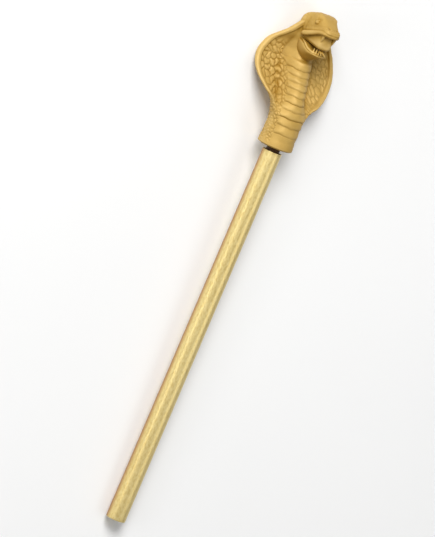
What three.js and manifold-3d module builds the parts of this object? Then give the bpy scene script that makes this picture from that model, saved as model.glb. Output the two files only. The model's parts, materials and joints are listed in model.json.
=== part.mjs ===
// A toy sceptre: a plastic tube with a closed foot, a moulded cobra head with its hood spread, and
// the dark threaded connector that joins the two. Sizes are in millimetres.
// It is built upright, foot at the origin, with the cobra looking along -Y, and is then laid on its
// back with its length along +X and the cobra looking up. It rests on the rim of its foot and on a
// small flat behind the hood.

import * as THREE from "three";
import { mergeVertices } from "three/addons/utils/BufferGeometryUtils.js";
import Module from "manifold-3d";

const wasm = await Module();
wasm.setup();

// Clearance between pieces that meet
const fitGap = 0.3;

// Tube, closed at the foot and open at the top
const tubeLength = 356;
const tubeRadius = 9;
const tubeWall = 1.2;
const footThickness = 2.5;
const footRounding = 0.9;
const tubeSides = 56;

// Connector: a plug in the tube, and a threaded neck that runs up into the cobra. neckGap is the
// ring left open around the thread in the tube's mouth.
const neckGap = 1.25;
const neckShown = 3.6;
const plugDepth = 24;
const plugRecess = 2.4;
const threadHeight = 0.55;
const threadPitch = 1.7;
const socketDepth = 22;
const plugChamfer = 1;
const connectorSides = 24;
const bore = tubeRadius - tubeWall;
const neckRadius = bore - neckGap - threadHeight;

// Cobra: the collar's radius at its edge, its rounded underside, and the height above the edge
const collarRadius = 16.2;
const collarFlare = 0.8;
const undersideDepth = 2;
const cobraHeight = 123;

// Where it lies: how deep the flat is cut behind the hood
const flatDepth = 0.7;

// The cobra's free form is drawn at this height and follows cobraHeight. Each list holds pairs of
// a height above the collar's edge and a value there.
const drawnHeight = 123;
const form = {
  halfWidth: [
    [20, 15.4], [26, 16.4], [33, 19.5], [39, 24], [45, 30.5], [51, 36], [57, 39.7], [63, 41.7],
    [69, 42.1], [75, 40.9], [81, 38.3], [87, 34.8], [93, 29.1], [99, 23.6], [105, 19.6],
    [110, 16.6], [114, 13.2], [117, 10],
  ],
  rimForward: [
    [26, -1], [36, -0.5], [42, 0], [48, -5.8], [54, -12.2], [60, -16.8], [66, -20],
    [72, -22.4], [78, -23.6], [84, -24.1], [90, -23.3], [99, -19.4], [108, -16.5], [117, -14],
  ],
  plateForward: [
    [26, -8], [36, -10], [46, -14], [60, -19], [72, -23], [84, -23.5], [90, -21], [98, -16],
    [108, -12],
  ],
  bellyForward: [
    [12, 15.4], [20, 14.4], [27, 13.2], [34, 12], [46, 8.6], [58, 3.4], [70, -3], [76, -4.4],
    [77.6, -7.2], [84, -9.2], [92, -9], [108, -9],
  ],
  bellyHalfWidth: [[26, 15.5], [50, 16.5], [70, 18], [80, 17], [90, 15.5], [108, 14]],
  spineBulge: [[26, 4], [46, 3.5], [60, 2.5], [72, 1.2], [108, 1]],
  bandHalfWidth: [
    [20, 12.6], [33, 13], [39, 11.2], [46, 10.2], [52, 10.2], [58, 10.5], [64, 11.6], [70, 13.2],
    [77, 16.5],
  ],
};

// Hood plate: the bead along its edge, and how far the face inside the bead is sunk
const rimRadius = 2.9;
const rimWidth = 5.6;
const rimStep = 1.3;
const plateInset = 1.5;

// The round neck above the collar turns into the hood's section between these heights
const neckRound = form.halfWidth[0][1];
const roundUpTo = 26;
const hoodFrom = 46;

// Belly bands: plates with a groove below each, further apart low on the neck
const bandCount = 10;
const firstBand = 11.4;
const lowPitch = 8.1;
const highPitch = 5.5;
const bandLip = 0.8;
const bandDepth = 0.8;
const bandGroove = 0.8;
const lastBand = 7.4;

// Heights between which the collar's flare runs out, and where the hood ends inside the skull
const collarEdge = 0.8;
const flareTop = 8;
const hoodTop = 117;
const ringSpacing = 3.4;

// Skull, lower jaw and the gum between them, as shells that run forward. Each list holds pairs of
// a distance forward of the tube's axis and a value there; widest is the share of the height where
// the section is widest. A larger endShape makes blunter ends, a larger squareness a squarer section.
const skull = {
  back: -24,
  front: 18,
  endShape: 5,
  squareness: 3,
  halfWidth: [[-24, 11.8], [-14, 12.9], [-4, 11.4], [4, 9.5], [11, 8.5], [18, 8]],
  top: [[-24, 119.2], [-14, 121.8], [-4, 123.8], [4, 121.6], [10, 118], [18, 113.4]],
  bottom: [[-24, 101], [-16, 99.5], [-3, 102.4], [5, 105.2], [12, 107.2], [18, 106.8]],
  widest: [[-24, 0.55], [-10, 0.5], [2, 0.4], [12, 0.33]],
};
const jaw = {
  back: -20,
  front: 9.8,
  endShape: 6,
  squareness: 2.3,
  halfWidth: [[-20, 12.6], [-12, 12.6], [-5, 11.5], [0, 9.9], [5, 8], [9.8, 5.8]],
  top: [[-20, 98.5], [-12, 96.8], [-5, 94.6], [0, 91.6], [5, 90], [9.8, 89.4]],
  bottom: [[-20, 77], [-8, 79], [-2, 81.8], [4, 84.4], [9.8, 86.4]],
  widest: [[-20, 0.85], [-12, 0.85], [-5, 0.85], [0, 0.78], [5, 0.66], [9.8, 0.5]],
};
const gum = {
  back: -18,
  front: 12.4,
  endShape: 10,
  squareness: 4,
  halfWidth: [[-18, 10], [0, 8.6], [12.4, 6.8]],
  top: [[-18, 110], [12.4, 112]],
  bottom: [[-18, 95.5], [-5, 95.2], [12.4, 93.6]],
  widest: [[0, 0.5], [1, 0.5]],
};

// Details of the head. rise is a share of the skull's height there, root is how far a fang's base
// is let into the skull, and sunk is how far the tongue is let into the jaw.
const eye = { side: 9.2, forward: 0.8, rise: 0.6, radius: 2.4 };
const brow = { side: 6.8, forward: -2.6, rise: 0.87, wide: 2.6, long: 6, deep: 2.1, droop: 0.24 };
const fang = { side: 5.8, forward: 13.4, root: 2.4, length: 9, radius: 1.9 };
const tongue = { back: 3, front: 15, width: 3.4, sunk: 0.6, thickness: 1.6, fork: 3.6 };

// Roll along the edge of the upper jaw, from the corner of the mouth to the middle of the snout:
// each station holds its side, forward, height and half height
const lipThickness = 1.5;
const lipStations = [
  [13, -12, 101, 2.3], [12, -5, 103, 2.5], [10.5, 3, 106, 2.3], [9, 10, 108.5, 2],
  [7.2, 14.5, 109.1, 1.8], [4.2, 16.7, 108.9, 1.7], [0, 17.4, 108.7, 1.7],
];
const lipRings = 21;
const lipSides = 8;

// Smooth curve through stations [at, value], level beyond the first and the last
function through(stations, at) {
  const last = stations.length - 1;
  if (at <= stations[0][0]) return stations[0][1];
  if (at >= stations[last][0]) return stations[last][1];
  const i = stations.findIndex(([x]) => x > at) - 1;
  const slope = (k) => {
    const [x0, y0] = stations[Math.max(k - 1, 0)];
    const [x1, y1] = stations[Math.min(k + 1, last)];
    return (y1 - y0) / (x1 - x0);
  };
  const [x0, y0] = stations[i];
  const [x1, y1] = stations[i + 1];
  const span = x1 - x0;
  const t = (at - x0) / span;
  const rise = t * t * (3 - 2 * t);
  return (
    y0 + (y1 - y0) * rise + span * (t * (1 - t) ** 2 * slope(i) - t * t * (1 - t) * slope(i + 1))
  );
}

// Closed geometry from rings of points, with a fan over each end
function skin(rings) {
  const count = rings[0].length;
  const points = rings.flat();
  const faces = [];
  for (let r = 0; r + 1 < rings.length; r++) {
    for (let i = 0; i < count; i++) {
      const next = (i + 1) % count;
      const [a, b] = [r * count + i, r * count + next];
      faces.push(a, b, a + count, b, b + count, a + count);
    }
  }
  for (const [ring, flip] of [[0, true], [rings.length - 1, false]]) {
    const middle = rings[ring].reduce((sum, p) => sum.add(p), new THREE.Vector3());
    points.push(middle.divideScalar(count));
    for (let i = 0; i < count; i++) {
      const [a, b] = [ring * count + i, ring * count + ((i + 1) % count)];
      faces.push(...(flip ? [b, a, points.length - 1] : [a, b, points.length - 1]));
    }
  }
  return new THREE.BufferGeometry().setFromPoints(points).setIndex(faces);
}

// three.js geometry to a solid and back
function solid(geometry) {
  const bare = geometry.clone();
  bare.deleteAttribute("normal");
  bare.deleteAttribute("uv");
  const merged = mergeVertices(bare, 1e-4);
  return new wasm.Manifold(
    new wasm.Mesh({
      numProp: 3,
      vertProperties: merged.attributes.position.array,
      triVerts: new Uint32Array(merged.index.array),
    }),
  );
}

function geometryOf(body) {
  const { numProp, vertProperties, triVerts } = body.getMesh();
  const positions = new Float32Array((vertProperties.length / numProp) * 3);
  for (let i = 0; i < positions.length / 3; i++) {
    positions.set(vertProperties.subarray(i * numProp, i * numProp + 3), i * 3);
  }
  return new THREE.BufferGeometry()
    .setAttribute("position", new THREE.BufferAttribute(positions, 3))
    .setIndex(new THREE.BufferAttribute(triVerts, 1));
}

// Solid of revolution about the upright axis, from [radius, height] pairs
function turned(profile, sides) {
  const points = profile.map(([radius, height]) => new THREE.Vector2(radius, height));
  return new THREE.LatheGeometry(points, sides).rotateX(Math.PI / 2);
}

// Corner of a turned profile rounded by an arc from angle a to angle b
function rounded(radius, height, size, a, b, steps = 4) {
  return Array.from({ length: steps + 1 }, (_, i) => {
    const angle = a + ((b - a) * i) / steps;
    return [radius + size * Math.cos(angle), height + size * Math.sin(angle)];
  });
}

function tube() {
  return turned(
    [
      [0, 0],
      ...rounded(tubeRadius - footRounding, footRounding, footRounding, -Math.PI / 2, 0),
      [tubeRadius, tubeLength],
      [bore, tubeLength],
      [bore, footThickness],
      [0, footThickness],
    ],
    tubeSides,
  );
}

// The plug sits below the tube's rim, and the neck's thread ridges run on into the cobra's socket
function connector() {
  const plugRadius = bore - fitGap;
  const plugBottom = tubeLength - plugDepth;
  const plugTop = tubeLength - plugRecess;
  const neckTop = tubeLength + neckShown + socketDepth - fitGap;
  const ridges = [];
  for (let z = plugTop + threadPitch; z < neckTop - threadPitch; z += threadPitch) {
    ridges.push([neckRadius, z - threadPitch / 2], [neckRadius + threadHeight, z]);
  }
  return turned(
    [
      [0, plugBottom],
      [plugRadius - plugChamfer, plugBottom],
      [plugRadius, plugBottom + plugChamfer],
      [plugRadius, plugTop],
      [neckRadius, plugTop],
      ...ridges,
      [neckRadius, neckTop],
      [0, neckTop],
    ],
    connectorSides,
  );
}

// Size of the drawn cobra, and the height of its collar's edge above the foot
const carve = cobraHeight / drawnHeight;
const collarAt = tubeLength + neckShown + undersideDepth;

// Point of the cobra from its side, forward and height, as drawn
const place = (side, forward, height) =>
  new THREE.Vector3(side * carve, -forward * carve, height * carve);

// Heights of the grooves between the belly bands
function bandGrooves() {
  const grooves = [firstBand];
  for (let i = 0; i + 1 < bandCount; i++) {
    const left = 1 - i / (bandCount - 2);
    grooves.push(grooves[i] + highPitch + (lowPitch - highPitch) * left * left);
  }
  return grooves;
}
const grooves = bandGrooves();

// How far the belly stands proud of its even front at a height: bands with a groove below each
function bandRelief(z) {
  const i = grooves.findLastIndex((groove) => z >= groove - bandGroove);
  if (i < 0 || z >= grooves.at(-1) + lastBand) return 0;
  if (z < grooves[i]) return (-bandDepth * (z - grooves[i] + bandGroove)) / bandGroove;
  const lip = Math.min(1, (z - grooves[i]) / bandGroove);
  const next = grooves[i + 1] ?? grooves[i] + lastBand;
  const fall = Math.max(0, (z - grooves[i] - bandGroove) / (next - grooves[i] - 2 * bandGroove));
  return lip < 1 ? -bandDepth + (bandLip + bandDepth) * lip : bandLip * (1 - Math.min(1, fall));
}

// Half of the hood's section at a height, from the belly's middle round the rim to the spine.
// Each point holds its side, its forward reach, and 1 on the front or -1 on the back.
function hoodHalf(z) {
  const at = Object.fromEntries(Object.entries(form).map(([name, list]) => [name, through(list, z)]));
  const opened = THREE.MathUtils.smoothstep(z, roundUpTo, hoodFrom);
  const bead = rimRadius * (0.4 + 0.6 * opened);
  const step = rimStep * (0.3 + 0.7 * opened);
  const flatTo = at.halfWidth - rimWidth * (0.3 + 0.7 * opened);
  const bandTo = Math.min(at.bandHalfWidth, flatTo - 1.2);
  const middle = (side) =>
    at.plateForward + (at.rimForward - at.plateForward) * (side / at.halfWidth) ** 2;
  const bump = (x, power, sharp) => (x < 1 ? (1 - x ** power) ** sharp : 0);
  const face = middle(0) + bead - plateInset;
  const front = (side, sunk, relief) => {
    const swell = (at.bellyForward - face) * bump(side / at.bellyHalfWidth, 2.4, 1.6);
    return [side, middle(side) + bead - sunk + swell + relief, 1];
  };
  const back = (side) => [
    side,
    middle(side) - bead - at.spineBulge * bump(side / at.bellyHalfWidth, 2, 2),
    -1,
  ];
  const between = (from, to, steps, point) =>
    Array.from({ length: steps + 1 }, (_, i) => point(from + ((to - from) * i) / steps));
  const half = [
    ...between(0, bandTo, 4, (side) => front(side, plateInset, bandRelief(z))),
    ...between(bandTo + 0.8, flatTo, 4, (side) => front(side, plateInset, 0)),
    front(flatTo + step, 0, 0),
    ...between(0, Math.PI, 4, (angle) => [
      at.halfWidth - bead + bead * Math.sin(angle),
      middle(at.halfWidth - bead) + bead * Math.cos(angle),
      angle < Math.PI / 2 ? 1 : -1,
    ]),
    ...between(at.halfWidth - bead, 0, 6, back).slice(1),
  ];
  return { half, halfWidth: at.halfWidth, opened, bandTo };
}

// Ring of the neck and hood at a height: round above the collar, then turning into the hood
function bodyRing(z, radius) {
  const { half, halfWidth, opened, bandTo } = hoodHalf(z);
  const shaped = half.map(([side, forward, facing]) => {
    const reach = facing > 0 ? radius + through(form.bellyForward, z) - neckRound : radius;
    const depth = reach * Math.sqrt(Math.max(0, 1 - (side / halfWidth) ** 2));
    const band = facing > 0 && side <= bandTo ? bandRelief(z) : 0;
    return [
      side + ((radius - neckRound) * side) / halfWidth,
      THREE.MathUtils.lerp(facing * depth + band, forward, opened),
    ];
  });
  const others = shaped.slice(1, -1).reverse();
  return [...shaped, ...others.map(([side, forward]) => [-side, forward])].map(([side, forward]) =>
    place(side, forward, z),
  );
}

// Neck and hood, from the rounded underside of the collar to the top behind the skull
function body() {
  const radius = collarRadius / carve;
  const rings = [];
  const underSteps = 3;
  for (let i = 0; i < underSteps; i++) {
    const angle = (Math.PI / 2) * (i / underSteps);
    const width = radius * (0.55 + 0.45 * Math.sin(angle));
    rings.push(bodyRing((-undersideDepth / carve) * Math.cos(angle), width));
  }
  const heights = [collarEdge, flareTop / 2, flareTop];
  for (const groove of grooves) heights.push(groove - bandGroove, groove, groove + bandGroove);
  for (let z = grooves.at(-1) + lastBand; z < hoodTop - ringSpacing / 2; z += ringSpacing) {
    heights.push(z);
  }
  heights.push(hoodTop);
  for (const z of heights) {
    const flare = collarFlare * (1 - THREE.MathUtils.smoothstep(z, collarEdge, flareTop));
    rings.push(bodyRing(z, radius - collarFlare + flare));
  }
  return skin(rings);
}

// Shell that runs forward with a rounded-square section and blunt ends
function shell(form, rings, sides) {
  const loops = [];
  for (let r = 1; r < rings; r++) {
    const turn = (Math.PI * r) / rings;
    const forward = THREE.MathUtils.lerp(form.back, form.front, (1 - Math.cos(turn)) / 2);
    const close = (1 - Math.abs(Math.cos(turn)) ** form.endShape) ** (1 / form.endShape);
    const [top, bottom] = [through(form.top, forward), through(form.bottom, forward)];
    const wide = through(form.halfWidth, forward) * close;
    const middle = THREE.MathUtils.lerp(bottom, top, through(form.widest, forward));
    const round = (value) => Math.sign(value) * Math.abs(value) ** (2 / form.squareness);
    loops.push(
      Array.from({ length: sides }, (_, i) => {
        const angle = (2 * Math.PI * i) / sides;
        const rise = round(Math.sin(angle)) * close;
        const height = middle + rise * (rise > 0 ? top - middle : middle - bottom);
        return place(wide * round(Math.cos(angle)), forward, height);
      }),
    );
  }
  return skin(loops);
}

// Roll of the upper lip, from one corner of the mouth round the snout to the other
function lipRoll() {
  const last = lipStations.length - 1;
  const at = (u, column) =>
    through(
      lipStations.map((station, k) => [k, station[column]]),
      last * (1 - Math.abs(u)),
    );
  const spot = (u) => new THREE.Vector2(Math.sign(u) * at(u, 0), at(u, 1));
  const loops = Array.from({ length: lipRings }, (_, r) => {
    const u = (2 * r) / (lipRings - 1) - 1;
    const run = spot(u + 1e-3).sub(spot(u - 1e-3)).normalize();
    const middle = spot(u);
    return Array.from({ length: lipSides }, (_, i) => {
      const angle = (2 * Math.PI * i) / lipSides;
      const out = lipThickness * Math.cos(angle);
      return place(
        middle.x + run.y * out,
        middle.y - run.x * out,
        at(u, 2) + at(u, 3) * Math.sin(angle),
      );
    });
  });
  return skin(loops);
}

// Height in the skull at a distance forward, as a share from its underside to its top
const inSkull = (forward, rise) =>
  THREE.MathUtils.lerp(through(skull.bottom, forward), through(skull.top, forward), rise);

// Ball stretched to three half sizes, tipped forward by an angle
function lump(side, forward, height, wide, long, deep, tip = 0) {
  const at = place(side, forward, height);
  return new THREE.SphereGeometry(1, 16, 10)
    .scale(wide * carve, long * carve, deep * carve)
    .rotateX(tip)
    .translate(at.x, at.y, at.z);
}

function fangs() {
  return [-1, 1].map((side) => {
    const base = inSkull(fang.forward, 0) + fang.root;
    const at = place(side * fang.side, fang.forward, base - fang.length / 2);
    return new THREE.ConeGeometry(fang.radius * carve, fang.length * carve, 10)
      .rotateX(-Math.PI / 2)
      .translate(at.x, at.y, at.z);
  });
}

// Flat forked tongue that lies over the front of the lower jaw
function tongueStrip() {
  const half = tongue.width / 2;
  const notch = tongue.front - tongue.fork;
  const points = [
    [-half, tongue.back],
    [half, tongue.back],
    [half, notch],
    [half * 1.4, tongue.front],
    [half * 0.7, tongue.front],
    [0, notch],
    [-half * 0.7, tongue.front],
    [-half * 1.4, tongue.front],
    [-half, notch],
  ];
  const outline = new THREE.Shape(points.map(([x, forward]) => new THREE.Vector2(x, -forward)));
  const at = place(0, 0, through(jaw.top, jaw.front) - tongue.sunk);
  return new THREE.ExtrudeGeometry(outline, { depth: tongue.thickness, bevelEnabled: false })
    .scale(carve, carve, carve)
    .translate(at.x, at.y, at.z);
}

// How far back the hood reaches, as drawn, and the height where it reaches furthest
function furthestBack() {
  let found = { reach: 0, height: 0 };
  for (let z = hoodFrom; z < hoodTop; z += 0.5) {
    const reach = Math.max(...hoodHalf(z).half.map(([, forward]) => -forward));
    if (reach > found.reach) found = { reach, height: z };
  }
  return found;
}

// Angle between the tube's axis and the surface it lies on: it rests on one of the tube's facets at
// the foot and on the flat behind the hood
const hoodBack = furthestBack();
const tubeRest = tubeRadius * Math.cos(Math.PI / tubeSides);
const lyingAngle = Math.atan2(
  hoodBack.reach * carve - flatDepth - tubeRest,
  collarAt + hoodBack.height * carve - footRounding,
);

// Everything behind the plane that the sceptre lies on, placed for the cobra
function floorBlock() {
  const size = 2 * (collarAt + cobraHeight);
  return new THREE.BoxGeometry(size, size, size)
    .translate(0, size / 2, size / 2)
    .rotateX(-lyingAngle)
    .translate(0, tubeRest, footRounding - collarAt);
}

function cobra() {
  const socket = turned(
    [
      [0, -undersideDepth - 1],
      [neckRadius + threadHeight + fitGap, -undersideDepth - 1],
      [neckRadius + threadHeight + fitGap, socketDepth - undersideDepth],
      [0, socketDepth - undersideDepth],
    ],
    connectorSides,
  );
  const eyeHeight = inSkull(eye.forward, eye.rise);
  const browHeight = inSkull(brow.forward, brow.rise);
  const parts = [
    body(),
    shell(skull, 16, 26),
    shell(jaw, 14, 24),
    shell(gum, 10, 20),
    lipRoll(),
    ...[-1, 1].map((side) =>
      lump(side * eye.side, eye.forward, eyeHeight, eye.radius, eye.radius, eye.radius),
    ),
    ...[-1, 1].map((side) =>
      lump(
        side * brow.side, brow.forward, browHeight, brow.wide, brow.long, brow.deep, brow.droop,
      ),
    ),
    ...fangs(),
    tongueStrip(),
  ];
  const whole = parts.map(solid).reduce((sum, piece) => sum.add(piece));
  return geometryOf(whole.subtract(solid(socket)).subtract(solid(floorBlock())));
}

// Named mesh in its own colour
function piece(name, geometry, color, roughness, metalness) {
  const material = new THREE.MeshStandardMaterial({ color, roughness, metalness });
  const mesh = new THREE.Mesh(geometry, material);
  mesh.name = name;
  return mesh;
}

const upright = new THREE.Group();
upright.add(piece("tube", tube().rotateZ(Math.PI / tubeSides), "#d3b566", 0.35, 0.8));
upright.add(piece("connector", connector(), "#3a2410", 0.6, 0));
const cobraMesh = piece("cobra", cobra(), "#c79b4b", 0.5, 0.45);
cobraMesh.position.z = collarAt;
upright.add(cobraMesh);

// Lay it on its back, then tip it until the foot's edge and the flat behind the hood both touch
upright.rotation.x = lyingAngle - Math.PI / 2;
const laid = new THREE.Group();
laid.add(upright);
laid.rotation.z = -Math.PI / 2;

// The origin is at the middle of its length, on the surface it lies on
const sceptre = new THREE.Group();
sceptre.add(laid);
sceptre.updateMatrixWorld(true);
const box = new THREE.Box3().setFromObject(sceptre, true);
laid.position.set(-(box.min.x + box.max.x) / 2, -(box.min.y + box.max.y) / 2, -box.min.z);

export default sceptre;
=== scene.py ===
"""A toy sceptre lying on its back: satin gold tube, brown threaded connector and a gold cobra.

Shapes are drawn in millimetres, with the sceptre upright and its foot at the origin: side to the
viewer's right, forward out of the cobra's belly, and height along the tube. laid() turns that into
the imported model's frame, in metres.
"""

import json
import math

import bpy
import numpy as np
from mathutils import Matrix, Vector
from mathutils.bvhtree import BVHTree


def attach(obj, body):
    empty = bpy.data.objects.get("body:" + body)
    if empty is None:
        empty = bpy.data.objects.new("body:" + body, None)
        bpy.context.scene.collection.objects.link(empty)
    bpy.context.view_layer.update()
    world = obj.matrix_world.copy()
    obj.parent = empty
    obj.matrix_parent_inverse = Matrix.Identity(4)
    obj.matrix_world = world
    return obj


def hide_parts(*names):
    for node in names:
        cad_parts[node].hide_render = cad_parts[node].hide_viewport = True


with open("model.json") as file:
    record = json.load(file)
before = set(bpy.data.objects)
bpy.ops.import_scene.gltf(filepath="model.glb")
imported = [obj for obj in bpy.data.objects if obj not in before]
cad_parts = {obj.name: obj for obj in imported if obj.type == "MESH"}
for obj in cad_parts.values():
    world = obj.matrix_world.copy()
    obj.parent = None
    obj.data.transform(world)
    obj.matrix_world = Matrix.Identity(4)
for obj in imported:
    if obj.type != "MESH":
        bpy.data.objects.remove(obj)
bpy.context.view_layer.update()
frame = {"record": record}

# Where the foot is and which way the tube runs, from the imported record
foot_mount = next(m for m in frame["record"]["mounts"] if m["name"] == "foot_end")
FOOT = np.array(foot_mount["pos_m"])
ALONG = -np.array(foot_mount["axis"])
FORWARD = np.array([-ALONG[2], 0.0, ALONG[0]])
SIDE = np.array([0.0, -1.0, 0.0])

# Sizes of the solids that these pieces replace
TUBE_LENGTH = 356.0
TUBE_RADIUS = 9.0
TUBE_WALL = 1.2
FOOT_THICKNESS = 2.5
FOOT_ROUNDING = 0.9
MOUTH_ROUNDING = 0.28
NECK_GAP = 1.25
NECK_SHOWN = 3.6
PLUG_DEPTH = 24.0
PLUG_RECESS = 2.4
THREAD_HEIGHT = 0.55
THREAD_PITCH = 1.7
SOCKET_DEPTH = 22.0
PLUG_CHAMFER = 1.0
FIT_GAP = 0.3
BORE = TUBE_RADIUS - TUBE_WALL
NECK_RADIUS = BORE - NECK_GAP - THREAD_HEIGHT
COLLAR_RADIUS = 16.2
COLLAR_FLARE = 0.8
UNDERSIDE = 2.0
COLLAR_AT = TUBE_LENGTH + NECK_SHOWN + UNDERSIDE

# The cobra's form: heights above the collar's edge and the values there
FORM = {
    "half_width": [
        (20, 15.4), (26, 16.4), (33, 19.5), (39, 24), (45, 30.5), (51, 36), (57, 39.7), (63, 41.7),
        (69, 42.1), (75, 40.9), (81, 38.3), (87, 34.8), (93, 29.1), (99, 23.6), (105, 19.6),
        (110, 16.4), (114, 12.8), (117, 9),
    ],
    "rim_forward": [
        (26, -1), (36, -0.5), (42, 0), (48, -5.8), (54, -12.2), (60, -16.8), (66, -20),
        (72, -22.4), (78, -23.6), (84, -24.1), (90, -23.3), (99, -19.4), (108, -16.5), (117, -14),
    ],
    "plate_forward": [
        (26, -8), (36, -10), (46, -14), (60, -19), (72, -23), (84, -23.5), (90, -21), (98, -16),
        (108, -12),
    ],
    "belly_forward": [
        (12, 15.4), (20, 14.4), (27, 13.2), (34, 12), (46, 8.6), (58, 3.4), (70, -3), (76, -4.4),
        (77.6, -7.2), (84, -9.2), (92, -9), (108, -9),
    ],
    "belly_half_width": [(26, 15.5), (50, 16.5), (70, 18), (80, 17), (90, 15.5), (108, 14)],
    "spine_bulge": [(26, 4), (46, 3.5), (60, 2.5), (72, 1.2), (108, 1)],
    "band_half_width": [
        (20, 12.6), (33, 13), (39, 11.2), (46, 10.2), (52, 10.2), (58, 10.5), (64, 11.6),
        (70, 13.2), (77, 16.5),
    ],
}
RIM_RADIUS = 2.9
RIM_WIDTH = 5.6
RIM_STEP = 1.3
# Shares of the rim's thickness and of its width that are left down on the neck
NECK_THICKNESS = 0.4
NECK_WIDTH = 0.3
PLATE_INSET = 1.5
NECK_ROUND = FORM["half_width"][0][1]
ROUND_UP_TO = 26
HOOD_FROM = 46
HOOD_TOP = 117
BAND_COUNT = 10
FIRST_BAND = 11.4
LOW_PITCH = 8.1
HIGH_PITCH = 5.5
LAST_BAND = 7.4
COLLAR_EDGE = 0.8
FLARE_TOP = 8

SKULL = {
    "back": -24, "front": 18, "end_shape": 5, "squareness": 3,
    "half_width": [(-24, 11.8), (-14, 12.9), (-4, 11.4), (4, 9.5), (11, 8.5), (18, 8)],
    "top": [(-24, 119.2), (-14, 121.8), (-4, 123.8), (4, 121.6), (10, 118), (18, 113.4)],
    "bottom": [(-24, 101), (-16, 99.5), (-3, 102.4), (5, 105.2), (12, 107.2), (18, 106.8)],
    "widest": [(-24, 0.55), (-10, 0.5), (2, 0.4), (12, 0.33)],
}
JAW = {
    "back": -20, "front": 9.8, "end_shape": 6, "squareness": 1.8,
    "half_width": [(-20, 11.2), (-12, 11.4), (-5, 11), (0, 9.8), (5, 8), (9.8, 5.8)],
    "top": [(-20, 98.5), (-12, 96.8), (-5, 94.6), (0, 91.6), (5, 90), (9.8, 89.4)],
    "bottom": [(-20, 77), (-8, 79), (-2, 81.8), (4, 84.4), (9.8, 86.4)],
    "widest": [(-20, 0.85), (-12, 0.85), (-5, 0.85), (0, 0.78), (5, 0.66), (9.8, 0.5)],
}
GUM = {
    "back": -18, "front": 12.4, "end_shape": 10, "squareness": 4,
    "half_width": [(-18, 10), (0, 8.6), (12.4, 6.8)],
    "top": [(-18, 110), (12.4, 112)],
    "bottom": [(-18, 95.5), (-5, 95.2), (12.4, 93.6)],
    "widest": [(0, 0.5), (1, 0.5)],
}
# Stations of the upper lip's roll: side, forward, height and half height
LIP = [
    (13, -12, 101, 2.3), (12, -5, 103, 2.5), (10.5, 3, 106, 2.3), (9, 10, 108.5, 2),
    (7.2, 14.5, 109.1, 1.8), (4.2, 16.7, 108.9, 1.7), (0, 17.4, 108.7, 1.7),
]
LIP_STEPS = 60
LIP_THICKNESS = 1.5
LIP_END = 0.35
JAW_LIP = 1.25
JAW_CORNER = -13
# Small parts of the head. rise is a share of the skull's height there, root is how far a fang's
# base is let into the skull, and lean is how far a tip is further back than its base.
EYE = {"side": 9.2, "forward": 0.8, "rise": 0.6, "radius": 2.4}
# Upper and lower lid: height over the eye's middle, and half sizes. Each is let in towards the
# skull, and tips with its height.
LIDS = ((1.5, (1.8, 2.5, 1.1)), (-1.8, (1.2, 2.4, 0.8)))
LID_INSET = 0.1
LID_TIP = -0.1
FANG = {"side": 5.8, "forward": 13.4, "root": 2.4, "length": 9, "radius": 1.9, "lean": 1.6}
TOOTH = {"base": 88.6, "length": 5.3, "radius": 1.0, "lean": 0.4}
# Side and forward of the lower teeth on one side of the mouth
TEETH = ((1.6, 9.3), (3.7, 8.4), (5.6, 6.8))
TONGUE = {"from": 3, "length": 12.0, "apart": 0.75, "fork": 1.6, "width": 1.25, "tip": 0.35}
# Rows of beads over the upper lip: height at the snout, size and pitch
BEAD_ROWS = ((112.4, 0.55, 1.3), (113.8, 0.6, 1.4))
BEAD_HEIGHT = 0.45
SNOUT_ROUND = 10.5
PLATE_SPACING = 3.6
PLATE_HEIGHT = 0.24
# Where the skull's plates are scattered: forward and sideways from the top, least and most
PLATE_AREA = ((-26, -32), (20, 32))
PLATE_TRIES = 2500

# The photograph's view: how far the camera is round to the viewer's left, how far above the
# upright sceptre's level, how far the sceptre leans in the picture, and millimetres per pixel
CAMERA_ROUND = math.radians(33)
CAMERA_ABOVE = math.radians(7)
CAMERA_ROLL = math.radians(23.1)
CAMERA_AWAY = 8.0
PICTURE = (435, 537)
MM_PER_PIXEL = 0.88
TUBE_TOP_PIXEL = (272.3, 151.0)
SENSOR = 36.0
FLOOR_HALF = 8.0
FLOOR_LEVEL = -0.0001
WORLD_LIGHT = 0.22

# The side of the tube that has a painted dark reflection, warmer and darker, as side, forward
# and height
TUBE_PAINTED_REFLECTION_SIDE = (-0.84, -0.54, 0.0)

# How the painted shade and highlight find grooves and sheltered places, in metres and
# rounds of smoothing
HOLLOW_REACH = 0.0007
HOLLOW_ROUNDS = 14
SHELTER_REACH = 0.014
SHELTER_RAYS = 14
SHELTER_LIFT = 0.0001
SHELTER_ROUNDS = 6
# How much painted shade undersides and the skull get. It comes in over the skull between two
# heights and between two places forward.
UNDERSIDE_PAINTED_SHADE = 0.55
SKULL_PAINTED_SHADE = 0.17
SKULL_PAINTED_SHADE_HEIGHTS = (104, 110)
SKULL_PAINTED_SHADE_FORWARD = (-17, -9)


def turned_vector(side, forward, height):
    return side * SIDE + forward * FORWARD + height * ALONG


def laid(points):
    """Upright millimetres (side, forward, height above the foot) to the model's frame."""
    points = np.asarray(points, float)
    axes = np.array([SIDE, FORWARD, ALONG])
    return FOOT + points @ axes / 1000


def through(stations, at):
    """Smooth curve through stations (at, value), level beyond the first and the last."""
    x, y = np.array(stations, float).T
    k = np.arange(len(x))
    before, after = np.maximum(k - 1, 0), np.minimum(k + 1, len(x) - 1)
    slope = (y[after] - y[before]) / (x[after] - x[before])
    at = np.asarray(at, float)
    i = np.clip(np.searchsorted(x, at, side="right") - 1, 0, len(x) - 2)
    span = x[i + 1] - x[i]
    t = np.clip((at - x[i]) / span, 0, 1)
    rise = t * t * (3 - 2 * t)
    bend = span * (t * (1 - t) ** 2 * slope[i] - t * t * (1 - t) * slope[i + 1])
    return y[i] + (y[i + 1] - y[i]) * rise + bend


def smooth(low, high, value):
    t = np.clip((np.asarray(value, float) - low) / (high - low), 0, 1)
    return t * t * (3 - 2 * t)


def blended(a, b, share):
    return a + (b - a) * share


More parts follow.
